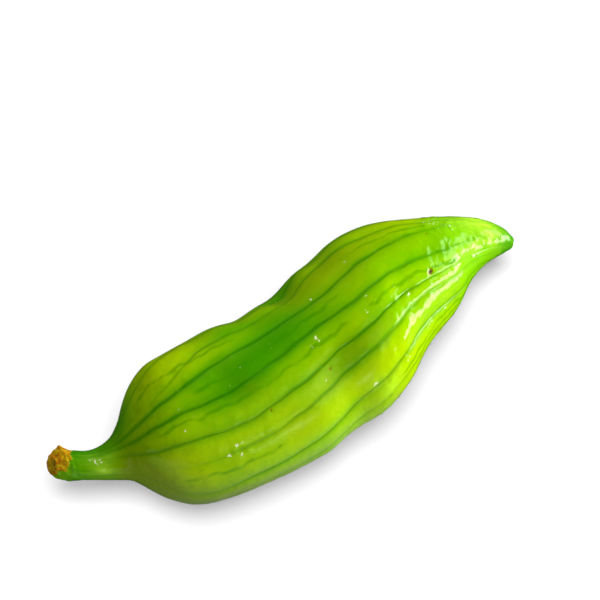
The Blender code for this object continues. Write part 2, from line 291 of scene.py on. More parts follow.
@dataclass(frozen=True)
class SkinDetail:
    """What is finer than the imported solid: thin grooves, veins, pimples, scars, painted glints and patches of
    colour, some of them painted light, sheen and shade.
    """

    groove_cut: float = 0.1
    groove_cut_width: float = 0.7
    # How much of the solid's rib depth the finer skin keeps, by x.
    rib_share: Pairs = (
        (-70, 0.25), (-50, 0.3), (-35, 0.5), (40, 0.55), (58, 0.3), (76, 0.25),
    )
    wobble: float = 0.14
    wobble_lengths: Pair = (23.0, 9.0)
    wobble_fall: float = 0.62
    wobble_radius: float = 8.0
    # How dark each groove is at the groove places, in turn round the fruit, and each hidden one.
    groove_strength: Rows = (
        (0, 0, 0.65, 0.3, 0.65, 0.6, 0.1, 0), (0.3, 0.9, 1, 1, 0.9, 0.75, 0.15, 0),
        (0.3, 1, 1, 0.9, 0.85, 0.7, 0.35, 0.1), (0.1, 0.7, 0.8, 0.8, 0.95, 0.45, 0.1, 0),
        (0, 0, 0.5, 0.65, 0.7, 0.35, 0.1, 0), (0, 0.2, 0.65, 0.6, 0.6, 0.7, 0.35, 0.1),
        (0, 0.1, 0.3, 0.35, 0.4, 0.4, 0.3, 0.1),
    )
    hidden_groove_strength: tuple[float, ...] = (0.1, 0.4, 0.6, 0.6, 0.6, 0.5, 0.2, 0.0)
    # Veins between the grooves, as (x, angle) from one end to the other.
    veins: tuple[Pairs, ...] = (
        ((-36, 0), (-29, 0), (-19, -3), (-8, -7), (3, -8), (12, -7)),
        ((-49, 15), (-37, 18), (-28, 18.5), (-20, 18), (-9, 14), (0, 13), (9, 13.5)),
        ((-50, -26), (-40, -24), (-30, -26), (-20, -27)),
        ((18, -30), (28, -26), (40, -22), (50, -20)),
        ((20, 15), (32, 19), (44, 26), (54, 34)),
        ((-48, 62), (-35, 64), (-22, 62)),
        ((22, 72), (34, 71), (46, 74), (58, 92)),
        ((-40, 130), (-20, 128), (5, 125), (25, 122)),
        ((-35, 205), (-10, 207), (20, 206)),
        ((-45, 240), (-20, 238), (10, 243), (35, 240)),
        ((-40, 290), (-15, 287), (15, 283), (40, 291)),
    )
    # How deep a vein lies as a share of groove_cut, its width, and its two waves in degrees and millimetres.
    vein_share: float = 0.4
    vein_width: float = 0.6
    vein_waves: Pairs = ((0.8, 1.7), (0.5, 0.8))
    # How slowly a vein tapers past its ends, and how soon it fades there.
    vein_ends: Pair = (0.25, 0.4)
    strewn_places: Pair = (-60, 76)
    undulations: int = 520
    undulation_height: float = 0.1
    undulation_sizes: Pair = (1.3, 2.6)
    pimples: int = 260
    pimple_height: float = 0.14
    pimple_sizes: Pair = (0.45, 0.75)
    # What share of pimple_height pimples have when strewn and when crowded, and how much longer strewn
    # swellings are than wide.
    strewn_shares: Pair = (0.5, 1.0)
    crowded_shares: Pair = (0.7, 1.5)
    longer: Pair = (1.0, 1.5)
    scar_sink: float = 0.35
    seed: int = 23
    degrees_a_millimetre: float = 2.6
    # Where pimples crowd on the beak and shoulder: x, angle, spread and count.
    rough_spots: tuple[tuple[float, float, float, int], ...] = (
        (56, -8, 5.5, 46), (52, 4, 4, 18), (64, 20, 5, 16), (-38, -30, 6, 12), (18, 68, 7, 18), (36, 66, 7, 16),
        (-34, 48, 3, 10),
    )
    # Painted glints: bright specks of highlight laid into the colour.
    glints: Swellings = swellings(
        (-36, 52, 1.3, 0.5, 0.6), (-33, 54, 1.1, 0.8, 0.6), (-33.3, 46.5, 1.1, 0.6, 0.9),
        (-31.5, 46, 0.9, 0.5, 0.7), (6, -20.5, 1.3, 0.8, 0.45), (-1.5, 10.5, 1.2, 0.5, 0.6),
        (0.5, 7.5, 1.3, 0.6, 0.6), (-4, 8.5, 1.1, 0.35, 0.35), (1, 11.5, 1, 0.5, 0.35),
        (17.3, 16.3, 1.2, 0.6, 0.4), (21.5, 14.3, 1.3, 0.8, 0.45), (17, 14, 1, 0.3, 0.3),
        (20.7, -23.5, 1.2, 0.45, 0.8), (19.5, 8, 1.1, 0.35, 0.35), (16, 19, 1, 0.35, 0.3),
        (32.5, 30.3, 1.3, 0.8, 0.45), (-22.5, -1.5, 1.3, 0.45, 0.45), (-27.5, 6.5, 1.2, 0.35, 0.4),
        (-2.5, 36.5, 1.2, 0.35, 0.4), (-43, 5.5, 1.1, 0.45, 0.4), (-40.5, -7.5, 1.1, 0.35, 0.35),
        (-44, 22, 1.1, 0.35, 0.35), (11, 61, 1, 1.3, 0.9), (20.5, 49, 0.8, 1, 0.6), (20.5, 70, 0.8, 1.4, 0.8),
        (24, 66, 0.95, 1.3, 0.8), (-66.5, 48, 0.8, 0.8, 0.5), (36, 65, 0.8, 2, 0.9), (44, 68, 0.7, 2, 1),
        (-68, 5, 0.65, 1.6, 1.2), (-67, 22, 0.6, 1.2, 1), (58, -10, 0.6, 6, 4), (52, -30, 0.55, 4, 2),
        (62, 52, 0.7, 2.5, 0.8),
    )
    scars: Swellings = swellings(
        (43.3, 28.3, 1, 0.65, 0.5), (0.2, 31.5, 0.75, 0.32, 0.3), (49.6, -8.5, 0.55, 0.3, 0.3),
        (-20.5, 34.5, 0.5, 0.35, 0.3), (15.5, -32, 0.35, 0.3, 0.3), (-52, 66, 0.35, 0.3, 0.35),
        (-10, 150, 0.8, 0.5, 0.4), (31, 214, 0.7, 0.6, 0.5), (-30, 268, 0.6, 0.4, 0.4),
    )
    patches: tuple[tuple[Tone, Swellings], ...] = (
        # Yellow: ripe tint, and painted light on the shoulder bump, the shoulder's underside and the lower
        # right ribs.
        (Tone.YELLOW, swellings(
            (-42, -42, 1, 7, 7), (-32, -52, 0.8, 6, 5), (-36, 42, 0.35, 9, 3.5), (-20, 42, 0.3, 8, 3.5),
            (-30, 60, 0.5, 14, 5), (-8, 55, 0.65, 8, 5), (8, 50, 0.6, 9, 4), (22, 52, 0.5, 8, 4),
            (18, 76, 0.75, 10, 7), (38, 84, 0.5, 13, 8), (-27, 25, 0.2, 12, 3.5), (0, 20, 0.25, 10, 4),
            (-32, -25, 0.45, 8, 4), (8, -38, 0.5, 10, 5), (38, -38, 0.6, 9, 5), (50, -42, 0.7, 7, 4),
            (-48, 48, 0.8, 5, 9), (-66, 30, 0.35, 5, 3),
        )),
        (Tone.GREEN, swellings(
            (-22, -5, 0.85, 12, 4), (-5, -8, 0.75, 9, 4), (35, -4, 0.2, 6, 6), (-22, 10, 0.7, 7, 3.5),
            (-5, -27, 0.6, 8, 4), (-20, -42, 0.4, 7, 4), (-28, 14, 0.4, 6, 3), (8, 3, 0.15, 8, 3),
            (50, -10, 0.25, 7, 3), (7, 36, 0.5, 5, 2.5), (-74, 75, 0.7, 2.5, 5), (-66, 90, 0.3, 7, 4),
            (79, 32, 1.6, 4, 8), (58, 68, 0.15, 8, 4), (70, 62, 0.15, 5, 4), (52, 14, 0.4, 7, 3),
            (-67, -42, 2.2, 6, 3.2), (79, 70, 1.4, 3, 8), (-58, -60, 0.9, 4, 6), (79, 0, 0.6, 2.5, 5),
            (2, -70, 0.8, 5, 5),
        )),
        # Olive: mostly painted shade in dents, at the neck's join and under the belly and cork, with some olive
        # tint.
        (Tone.OLIVE_AND_SHADE, swellings(
            (12, 30, 0.7, 7, 2.5), (0, 39, 0.5, 4, 2.5), (26, -20, 0.5, 9, 4), (18, -36, 0.9, 7, 4),
            (4, -27, 0.4, 5, 4), (-23, 15, 0.5, 3, 2.5), (-79, 120, 0.6, 1.4, 2.5), (-46, -30, 0.4, 4, 6),
            (20, -5, 0.3, 6, 6), (-57, 65, 1, 4, 8), (-57, 100, 1.2, 4, 8), (-22, 112, 0.8, 22, 7),
            (-42, 98, 0.8, 10, 7), (-54, -25, 0.4, 4, 8), (-53, 0, 0.3, 3, 5),
        )),
        # Pale: painted sheen and highlight flecks on the beak, the neck and the lower ribs.
        (Tone.PAINTED_SHEEN, swellings(
            (64, -20, 0.2, 5, 4), (71, 10, 0.8, 4, 5), (69, -28, 0.5, 5, 4), (56, 34, 0.3, 5, 3),
            (66, 34, 0.4, 4, 2), (-67, 4, 0.6, 3, 1.6), (-66.5, 48, 1, 1.5, 1), (15.5, 71, 0.55, 3, 2.2),
            (11, 61, 0.5, 2, 1.5),
        )),
    )
    # The corky end: its edge along X, how far that edge slants, where it lies farthest, its raggedness as
    # (height, waves round, shift), how deep the colour reads it, and its crags.
    cork_edge: float = -75.5
    cork_slant: float = 3.5
    cork_turn: float = -60.0
    cork_ragged: tuple[tuple[float, float, float], ...] = ((0.25, 7, 1), (0.12, 13, 0))
    cork_full: float = 2.5
    cork_roughness: float = 0.2
    cork_swell: float = 0.12
    cork_fade: float = 0.8
    cork_lumps: int = 150
    cork_places: Pair = (-79, -73)
    cork_length: float = 0.5
    cork_sizes: Pair = (0.35, 0.7)

    def strewn(
        self, dice: random.Random, count: int, height: float, sizes: Pair
    ) -> list[Swelling]:
        """Strew small swellings over the whole skin.

        Args:
            dice: Where the chances come from.
            count: How many there are.
            height: The most that one stands out or lies in.
            sizes: The smallest and the largest half-width.

        Returns:
            The swellings.
        """
        made = []
        for _ in range(count):
            size = dice.uniform(*sizes)
            place = dice.uniform(*self.strewn_places)
            angle = dice.uniform(*AROUND)
            lift = dice.uniform(-height, height)
            made.append(Swelling(place, angle, lift, size * dice.uniform(*self.longer), size))
        return made

    def pimple_list(self, dice: random.Random) -> list[Swelling]:
        """List the pimples: some strewn, others crowded on the rough spots.

        Args:
            dice: Where the chances come from.

        Returns:
            The pimples.
        """
        made = [
            replace(pimple, amount=self.pimple_height * dice.uniform(*self.strewn_shares))
            for pimple in self.strewn(dice, self.pimples, 1.0, self.pimple_sizes)
        ]
        for place, angle, reach, count in self.rough_spots:
            for _ in range(count):
                size = dice.uniform(*self.pimple_sizes)
                height = self.pimple_height * dice.uniform(*self.crowded_shares)
                x = dice.gauss(place, reach)
                turned = dice.gauss(angle, reach * self.degrees_a_millimetre)
                made.append(Swelling(x, turned, height, size, size))
        return made


@dataclass
class FruitSkin:
    """The dressed fruit: a blank tube, shaped ring by ring into the skin and closed at both ends."""

    form: FruitForm
    detail: SkinDetail
    columns_per_rib: int = 4
    subdivisions: int = 2
    blank_radius: float = 0.02
    # Rings of the blank, as runs of (x where the run ends, number of rings).
    ring_runs: tuple[tuple[float, int], ...] = (
        (-72, 6), (-62, 4), (-42, 10), (62, 52), (76, 7), (79.6, 3), (80.7, 1),
    )
    # The cut end and the tip close in on their middles: share of the rim's radius, then how far in or out.
    cut_rings: Pairs = (
        (0.12, 1.2), (0.28, 0.9), (0.46, 0.2), (0.66, -0.3), (0.86, -0.4),
    )
    tip_rings: Pairs = ((0.8, 0.28), (0.4, 0.46))
    tip_reach: float = 0.5
    cut_closing: float = 0.05
    cut_crags: float = 0.12
    # The crags' waves, in radians a millimetre across and up.
    crag_waves: Pair = (9, 8)
    cut_slope: float = 30.0
    cut_reach: float = 6.0
    knob_reach: float = 8.0
    pit_lift: float = 2.2
    pit_mark: float = 3.0
    knob_roughness: float = 0.3
    # The knob's two waves: how many go round, and how they turn along the stalk.
    knob_waves: Pairs = ((5, 1.1), (3, -2.3))
    no_vein: float = 9.0
    column_crowding: float = 0.55
    # Grooves are cut in over these x.
    body: Pair = (-72.0, -64.0)
    # How many half-sizes a swelling reaches along the fruit.
    swelling_reach: float = 3.6
    tone_limit: float = 1.3
    glint_limit: float = 1.4

    @property
    def fine(self) -> int:
        """How many cells a cell of the blank becomes, each way."""
        return 2**self.subdivisions

    @property
    def columns(self) -> int:
        """How many columns the blank has round it."""
        return self.form.groove_angles(np.zeros(1)).shape[1] * self.columns_per_rib

    def blank_rings(self) -> np.ndarray:
        """List the blank's rings.

        Returns:
            One row a ring, with its x, its share of the radius and its depth.
        """
        first = self.form.sections[0][0]
        rows = [(first, share, depth) for share, depth in self.cut_rings]
        rows.append((first, 1.0, 0.0))
        for end, count in self.ring_runs:
            start = rows[-1][0]
            rows.extend((start + (end - start) * step / count, 1.0, 0.0) for step in range(1, count + 1))
        rows.extend((rows[-1][0], share, depth) for share, depth in self.tip_rings)
        return np.array(rows)

    def make_blank(self) -> Piece:
        """Make the straight open tube that the skin is shaped from.

        Returns:
            The tube, along X, with its rings evenly spaced.
        """
        count = len(self.blank_rings()) - 1
        deselect_all()
        bpy.ops.mesh.primitive_cylinder_add(
            vertices=self.columns,
            radius=self.blank_radius,
            depth=count * MM,
            end_fill_type="NOTHING",
            rotation=(0.0, math.pi / 2, 0.0),
        )
        blank = bpy.context.active_object
        blank.name = "fruit_skin"
        blank.data.name = "fruit_skin"
        bpy.ops.object.transform_apply(location=True, rotation=True, scale=True)
        points = blank.data.vertices
        ends = [[points[index].co.x for index in edge.vertices] for edge in blank.data.edges]
        open_with_edges(blank, [abs(first - last) > MM for first, last in ends])
        bpy.ops.mesh.subdivide(number_cuts=count - 1)
        bpy.ops.object.mode_set(mode="OBJECT")
        finer = blank.modifiers.new("finer", "SUBSURF")
        finer.subdivision_type = "SIMPLE"
        finer.levels = self.subdivisions
        finer.render_levels = self.subdivisions
        bpy.ops.object.modifier_apply(modifier=finer.name)
        return blank

    def grid_places(self, blank: Piece) -> tuple[np.ndarray, np.ndarray]:
        """Find which ring and which column each point of the blank lies on.

        Args:
            blank: The straight tube.

        Returns:
            The ring and the column of each vertex.
        """
        flat = np.empty(len(blank.data.vertices) * 3)
        blank.data.vertices.foreach_get("co", flat)
        x, y, z = flat.reshape(-1, 3).T
        rings = (len(self.blank_rings()) - 1) * self.fine
        columns = self.columns * self.fine
        ring = np.rint((x - x.min()) / (x.max() - x.min()) * rings).astype(int)
        column = np.rint(np.arctan2(-y, z) / (2 * math.pi) * columns).astype(int) % columns
        return ring, column

    def lay_out(self) -> None:
        """Work out x, angle and place across its rib for every ring and column."""
        table = self.blank_rings()
        steps = np.arange(len(table))
        wanted = np.arange((len(table) - 1) * self.fine + 1) / self.fine
        self.x = np.interp(wanted, steps, table[:, 0])
        self.share = np.clip(smooth_through(steps, table[:, 1], wanted), 0.0, 1.0)
        self.depth = smooth_through(steps, table[:, 2], wanted)
        self.depth[self.share >= 1.0] = 0.0
        detail = self.detail
        dice = random.Random(detail.seed)
        grooves = self.form.groove_angles(self.x)
        self.centres, self.wide, self.high = self.form.sections_at(self.x)
        radius = (self.wide + self.high) / 2
        for column in grooves.T:
            sway = sum(
                detail.wobble_fall**turn * np.sin(2 * math.pi * self.x / length + dice.uniform(0, FULL_TURN))
                for turn, length in enumerate(detail.wobble_lengths)
            )
            column += np.degrees(detail.wobble * sway / np.maximum(radius, detail.wobble_radius))
        following = np.concatenate([grooves[:, 1:], grooves[:, :1] + 360.0], axis=1)
        even = np.arange(self.columns_per_rib * self.fine) / (self.columns_per_rib * self.fine)
        across = even - self.column_crowding * np.sin(2 * math.pi * even) / (2 * math.pi)
        angles = grooves[:, :, None] + (following - grooves)[:, :, None] * across
        self.angles = np.radians(angles.reshape(len(self.x), -1))
        self.across = np.tile(across, grooves.shape[1])
        rib_width = np.radians(following - grooves) * radius[:, None]
        self.from_groove = (rib_width[:, :, None] * np.minimum(across, 1.0 - across)).reshape(self.angles.shape)

    def swell(self, patches: Sequence[Swelling]) -> np.ndarray:
        """Add up soft round patches over the skin.

        Args:
            patches: The patches.

        Returns:
            Their sum at each ring and column.
        """
        total = np.zeros_like(self.angles)
        for patch in patches:
            near = np.abs(self.x - patch.place) < self.swelling_reach * patch.half_length
            if not near.any():
                continue
            turn = half_turn(self.angles[near] - math.radians(patch.angle))
            away = ((self.x[near] - patch.place) / patch.half_length)[:, None] ** 2
            away = away + (turn * self.wide[near][:, None] / patch.half_width) ** 2
            total[near] += patch.amount * np.exp(-0.5 * away)
        return total

    def vein_distance(self) -> np.ndarray:
        """Measure how far the nearest vein is.

        Returns:
            The distance of each point, in millimetres.
        """
        dice = random.Random(self.detail.seed + 1)
        nearest = np.full_like(self.angles, self.no_vein)
        (sway, long), (quiver, short) = self.detail.vein_waves
        stretch, fade = self.detail.vein_ends
        for vein in self.detail.veins:
            places, turns = np.array(vein, float).T
            inside = np.clip(self.x, places[0], places[-1])
            line = smooth_through(places, turns, inside)
            line += sway * np.sin(self.x / long + dice.uniform(0, FULL_TURN))
            line += quiver * np.sin(self.x / short)
            beside = self.wide[:, None] * half_turn(self.angles - np.radians(line)[:, None])
            beyond = stretch * np.abs(self.x - inside)[:, None]
            nearest = np.minimum(nearest, np.hypot(beside, beyond) + fade * beyond)
        return nearest

    def cork_depth(self) -> np.ndarray:
        """Measure how far each point lies inside the corky end.

        Returns:
            Millimetres from its edge, less than zero on the green skin, and rising again into the pit.
        """
        detail = self.detail
        edge = detail.cork_edge + detail.cork_slant * np.cos(self.angles - math.radians(detail.cork_turn))
        ragged = sum(high * np.sin(waves * self.angles + shift) for high, waves, shift in detail.cork_ragged)
        inside = np.minimum(edge + ragged - self.x[:, None], detail.cork_full)
        cut = ((self.share < 1.0) & (self.x < 0))[:, None]
        pit = self.pit_mark * (1.0 - self.share[:, None]) * (self.x < 0)[:, None]
        return np.where(cut, detail.cork_full, inside) + pit

    def knob_height(self) -> np.ndarray:
        """Work out the corky knob's roughness, which fades along the stalk.

        Returns:
            Its height at each point.
        """
        from_end = (self.x - self.x[0])[:, None]
        (many, lead), (few, lag) = self.knob_waves
        rough = np.sin(many * self.angles + lead * from_end) * np.cos(few * self.angles + lag * from_end)
        return self.knob_roughness * np.clip(1.0 - from_end / self.knob_reach, 0.0, 1.0) * rough

    def cork_height(self, dice: random.Random) -> np.ndarray:
        """Raise small crags on the cork.

        Args:
            dice: Where the chances come from.

        Returns:
            Their height at each point, none on the green skin.
        """
        detail = self.detail
        crags = []
        for _ in range(detail.cork_lumps):
            place, angle, height = (dice.uniform(*ends) for ends in (detail.cork_places, AROUND, (-1, 1)))
            half_width = dice.uniform(*detail.cork_sizes)
            crags.append(Swelling(place, angle, height, detail.cork_length, half_width))
        inside = np.clip(self.cork_depth() / detail.cork_fade, 0.0, 1.0)
        return inside * (detail.cork_roughness * np.clip(self.swell(crags), -1, 1) + detail.cork_swell)

    def skin_points(self) -> np.ndarray:
        """Work out every point of the skin.

        Returns:
            Points in millimetres, as rings by columns by coordinates.
        """
        detail = self.detail
        dice = random.Random(detail.seed + 2)
        wide = self.wide[:, None]
        high = self.high[:, None]
        from_end = (self.x - self.x[0])[:, None]
        at_stalk = (self.x < 0)[:, None]
        body = np.interp(self.x, self.body, (0.0, 1.0))[:, None]
        share = np.interp(self.x, *np.array(detail.rib_share).T)[:, None]
        height = share * self.form.rib_height(self.x, self.across) + self.swell(self.form.all_lumps())
        height += self.knob_height()
        cut_line = np.exp(-((self.from_groove / detail.groove_cut_width) ** 2))
        height -= body * detail.groove_cut * self.groove_darkness() * cut_line
        self.from_vein = self.vein_distance()
        vein_line = np.exp(-((self.from_vein / detail.vein_width) ** 2))
        height -= detail.vein_share * detail.groove_cut * vein_line
        height += self.swell(
            detail.strewn(dice, detail.undulations, detail.undulation_height, detail.undulation_sizes)
        )
        height += self.swell(detail.pimple_list(dice))
        height -= detail.scar_sink * self.swell(detail.scars)
        height += self.cork_height(dice)
        outward = np.stack([0 * self.angles, -np.sin(self.angles) / wide, np.cos(self.angles) / high], axis=2)
        points = self.centres[:, None, :] + outward * np.stack([0 * wide, wide**2, high**2], axis=2)
        points += outward / np.linalg.norm(outward, axis=2)[..., None] * height[..., None]
        # The stalk's cut end slants, and closes in on its middle over a shallow pit with a craggy rim.
        cut = np.clip(1.0 - from_end / self.cut_reach, 0.0, 1.0)
        points[..., 0] += np.cos(self.angles) * high * math.tan(math.radians(self.cut_slope)) * cut
        middles = points.mean(axis=1, keepdims=True)
        points = middles + (points - middles) * self.share[:, None, None]
        points[..., 0] += self.depth[:, None]
        points[..., 2] += self.pit_lift * (1.0 - self.share)[:, None] * at_stalk
        across, up = self.crag_waves
        crags = np.sin(across * points[..., 1]) * np.sin(up * points[..., 2] + 1.0)
        rim = np.where(self.share < 1.0, self.cut_crags * self.share, 0.0)[:, None]
        points[..., 0] += rim * crags * at_stalk
        points -= np.array(self.form.resting_place)
        points[..., 2] = np.maximum(points[..., 2], 0.0)
        return np.clip(points, *(np.array(corner) / MM for corner in SOLID_BOX))

    def groove_darkness(self) -> np.ndarray:
        """Work out how dark the nearest groove is.

        Returns:
            Its darkness at each point, from 0 to 1.
        """
        each = list(self.detail.groove_strength)
        cells = self.columns_per_rib * self.fine
        each += [self.detail.hidden_groove_strength] * (self.angles.shape[1] // cells - len(each))
        amounts = self.form.along_grooves(each, self.x)
        before = np.repeat(amounts, cells, axis=1)
        after = np.repeat(np.roll(amounts, -1, axis=1), cells, axis=1)
        return np.clip(np.where(self.across < 0.5, before, after), 0.0, 1.0)

    def straightened(self) -> np.ndarray:
        """Lay the skin's points on a straight tube, for patterns that follow the ribs.

        Returns:
            The points, in metres.
        """
        turn = 2 * math.pi * (np.arange(self.angles.shape[1]) / self.angles.shape[1])
        radius = (self.wide + self.high)[:, None] / 2 * self.share[:, None]
        along = self.x[:, None] + 0 * turn
        return np.stack([along, radius * np.cos(turn), radius * np.sin(turn)], axis=2) * MM

    def tone_strength(self, tone: Tone) -> np.ndarray:
        """Strength of one Tone at each point, from nought to the limit."""
        return np.clip(self.swell(dict(self.detail.patches)[tone]), 0.0, self.tone_limit)

    def paint(self, skin: Piece, ring: np.ndarray, column: np.ndarray) -> None:
        """Store what the finish reads as attributes of the skin's points.

        Args:
            skin: The shaped skin.
            ring: The ring of each vertex.
            column: The column of each vertex.
        """
        # marks holds the scars, the painted glints and the cork's depth.
        marks = np.stack(
            [
                np.clip(self.swell(self.detail.scars), 0, 1),
                np.clip(self.swell(self.detail.glints), 0, self.glint_limit),
                self.cork_depth(),
            ],
            axis=2,
        )
        lines = np.stack([self.from_groove, self.groove_darkness(), self.from_vein], axis=2)
        crest = np.sin(np.pi * self.across)[None, :] + 0 * self.angles
        # form holds the painted sheen's strength, the rib crest and x.
        form = np.stack([self.tone_strength(Tone.PAINTED_SHEEN), crest, self.x[:, None] + 0 * self.angles], axis=2)
        zones = np.stack([self.tone_strength(tone) for tone in (Tone.YELLOW, Tone.GREEN, Tone.OLIVE_AND_SHADE)], axis=2)
        layers = {"lines": lines, "zones": zones, "marks": marks, "form": form, "flow": self.straightened()}
        for name, layer in layers.items():
            attribute = skin.data.attributes.new(name, "FLOAT_VECTOR", "POINT")
            attribute.data.foreach_set("vector", layer[ring, column].ravel())

    def close_end(self, skin: Piece, members: np.ndarray, reach: float) -> None:
        """Close one end of the skin to a point.

        Args:
            skin: The shaped skin.
            members: True for each vertex on the open rim.
            reach: How far the point lies beyond the rim, along X, in millimetres.
        """
        deselect_all()
        skin.select_set(True)
        bpy.context.view_layer.objects.active = skin
        edges = np.empty(len(skin.data.edges) * 2, int)
        skin.data.edges.foreach_get("vertices", edges)
        open_with_edges(skin, members[edges.reshape(-1, 2)].all(axis=1))
        bpy.ops.mesh.extrude_edges_move(TRANSFORM_OT_translate={"value": (reach * MM, 0.0, 0.0)})
        bpy.ops.mesh.merge(type="CENTER")
        bpy.ops.object.mode_set(mode="OBJECT")

    def build(self, finish: "SkinFinish") -> Piece:
        """Build and dress the fruit.

        Args:
            finish: The skin's finish.

        Returns:
            The finished piece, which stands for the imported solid.
        """
        self.lay_out()
        skin = self.make_blank()
        ring, column = self.grid_places(skin)
        points = self.skin_points()[ring, column] * MM
        skin.data.vertices.foreach_set("co", points.ravel())
        skin.data.update()
        self.paint(skin, ring, column)
        self.close_end(skin, ring == 0, self.cut_closing)
        members = np.zeros(len(skin.data.vertices), bool)
        members[: len(ring)] = ring == ring.max()
        self.close_end(skin, members, self.tip_reach - self.tip_rings[-1][1])
        bpy.ops.object.mode_set(mode="EDIT")
        bpy.ops.mesh.select_all(action="SELECT")
        bpy.ops.mesh.normals_make_consistent(inside=False)
        bpy.ops.object.mode_set(mode="OBJECT")
        bpy.ops.object.shade_smooth()
        skin.data.materials.append(finish.material())
        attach(skin, "root")
        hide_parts("fruit")
        return skin


class Wiring:
    """Adds nodes to one node tree and joins them."""

    def __init__(self, tree: Group) -> None:
        """Keep the tree to add to."""
        self.tree = tree

    def feed(self, socket: Socket, value: Any) -> None:
        """Link a socket to another, or set its value.

        Args:
            socket: The socket to feed.
            value: Another socket, or a plain value.
        """
        if isinstance(value, Socket):
            self.tree.links.new(value, socket)
        else:
            socket.default_value = value

    def fill(self, node: bpy.types.Node, inputs: dict[Any, Any]) -> None:
        """Feed a node's inputs, given by name or number."""
        for key, value in inputs.items():
            self.feed(node.inputs[key], value)

    def node(self, kind: str, inputs: dict[Any, Any] | None = None, **settings: Any) -> bpy.types.Node:
        """Add a node.

        Args:
            kind: The node's type.
            inputs: Values or sockets by input name or number.
            settings: The node's own properties.

        Returns:
            The new node.
        """
        made = self.tree.nodes.new(kind)
        for name, value in settings.items():
            setattr(made, name, value)
        self.fill(made, inputs or {})
        return made

    def math(self, operation: str, first: Any, second: Any, third: Any = 0.0, clamp: bool = False) -> Socket:
        """Add a Math node and return its result."""
        inputs = {0: first, 1: second, 2: third}
        return self.node("ShaderNodeMath", inputs, operation=operation, use_clamp=clamp).outputs[0]

    def times(self, first: Any, second: Any, clamp: bool = False) -> Socket:
        """Multiply two numbers and return the result."""
        return self.math("MULTIPLY", first, second, clamp=clamp)

    def plus(self, base: Any, part: Any, share: Any, clamp: bool = False) -> Socket:
        """Add a share of one number to another and return the result."""
        return self.math("MULTIPLY_ADD", part, share, base, clamp)

    def mix(self, factor: Any, first: Any, second: Any) -> Socket:
        """Add a colour Mix node and return its result."""
        return self.node("ShaderNodeMix", {0: factor, 6: first, 7: second}, data_type="RGBA").outputs[2]

    def cover(self, colour: Any, layers: tuple[tuple[Any, float, Any], ...]) -> Socket:
        """Lay colours over another.

        Args:
            colour: The colour underneath.
            layers: The mask, the amount and the colour of each layer in turn.

        Returns:
            The colour with all the layers over it.
        """
        for mask, amount, over in layers:
            colour = self.mix(self.times(mask, amount), colour, over)
        return colour

    def span(self, value: Any, low: Any, high: Any, to_low: float = 0.0, to_high: float = 1.0) -> Socket:
        """Map a value from low..high to to_low..to_high with soft ends, and return the result."""
        inputs = {"Value": value, "From Min": low, "From Max": high, "To Min": to_low, "To Max": to_high}
        return self.node("ShaderNodeMapRange", inputs, interpolation_type="SMOOTHSTEP").outputs["Result"]

    def attribute(self, name: str) -> Socket:
        """Read one of the piece's vector attributes."""
        node = self.node("ShaderNodeAttribute", attribute_name=name, attribute_type="GEOMETRY")
        return node.outputs["Vector"]

    def split(self, vector: Socket) -> tuple[Socket, ...]:
        """Split a vector into its three numbers."""
        return tuple(self.node("ShaderNodeSeparateXYZ", {0: vector}).outputs)

    def use(self, effect: Group, **inputs: Any) -> Socket:
        """Place a shared effect and return its result."""
        return self.node("ShaderNodeGroup", inputs, node_tree=effect).outputs[0]


def new_material(name: str) -> tuple[bpy.types.Material, Wiring, bpy.types.Node]:
    """Make a material with nodes.

    Args:
        name: Its name.

    Returns:
        The material, its net and its shader.
    """
    material = bpy.data.materials.new(name)
    material.use_nodes = True
    return material, Wiring(material.node_tree), material.node_tree.nodes["Principled BSDF"]


@dataclass(frozen=True)
class Effect:
    """A shared effect: a node group with named inputs, None for a vector, and one named number out."""

    name: str
    inputs: tuple[tuple[str, float | None], ...]
    result: str

    def start(self) -> tuple[Wiring, Any, Socket]:
        """Make the group's tree and sockets.

        Returns:
            The net, what comes in by name and the socket for the result.
        """
        tree = bpy.data.node_groups.new(self.name, "ShaderNodeTree")
        for name, value in self.inputs:
            kind = "NodeSocketVector" if value is None else "NodeSocketFloat"
            socket = tree.interface.new_socket(name=name, in_out="INPUT", socket_type=kind)
            if value is not None:
                socket.default_value = value
        tree.interface.new_socket(name=self.result, in_out="OUTPUT", socket_type="NodeSocketFloat")
        net = Wiring(tree)
        given = net.node("NodeGroupInput").outputs
        return net, given, net.node("NodeGroupOutput").inputs[self.result]


def mottle_effect() -> Group:
    """Make the effect that gives soft uneven patches from 0 to 1.

    Returns:
        The node group.
    """
    inputs = (("Vector", None), ("Scale", 100.0), ("Low", 0.35), ("High", 0.65), ("Detail", 4.0))
    net, given, result = Effect("soft_mottle", inputs, "Value").start()
    noise = {name: given[name] for name in ("Vector", "Scale", "Detail")} | {"Roughness": 0.55}
    grey = net.node("ShaderNodeTexNoise", noise).outputs["Fac"]
    net.feed(result, net.span(grey, given["Low"], given["High"]))
    return net.tree


def line_effect() -> Group:
    """Make the effect that draws a soft-edged line where a distance is small.

    Returns:
        The node group.
    """
    inputs = (("Distance", 0.0), ("Wobble", 0.0), ("Core", 0.2), ("Edge", 0.8), ("Strength", 1.0))
    net, given, result = Effect("soft_line", inputs, "Mask").start()
    distance = net.math("ADD", given["Distance"], given["Wobble"])
    line = net.span(distance, given["Core"], given["Edge"], 1.0, 0.0)
    net.feed(result, net.times(line, given["Strength"], clamp=True))
    return net.tree


def speck_effect() -> Group:
    """Make the effect that strews small round specks, some of them missing.

    Returns:
        The node group.
    """
    inputs = (("Vector", None), ("Scale", 400.0), ("Size", 0.2), ("Missing", 0.6))
    net, given, result = Effect("strewn_specks", inputs, "Mask").start()
    cells = net.node("ShaderNodeTexVoronoi", {name: given[name] for name in ("Vector", "Scale")})
    dot = net.span(cells.outputs["Distance"], 0.0, given["Size"], 1.0, 0.0)
    chance = net.split(cells.outputs["Color"])[0]
    net.feed(result, net.times(dot, net.math("GREATER_THAN", chance, given["Missing"])))
    return net.tree


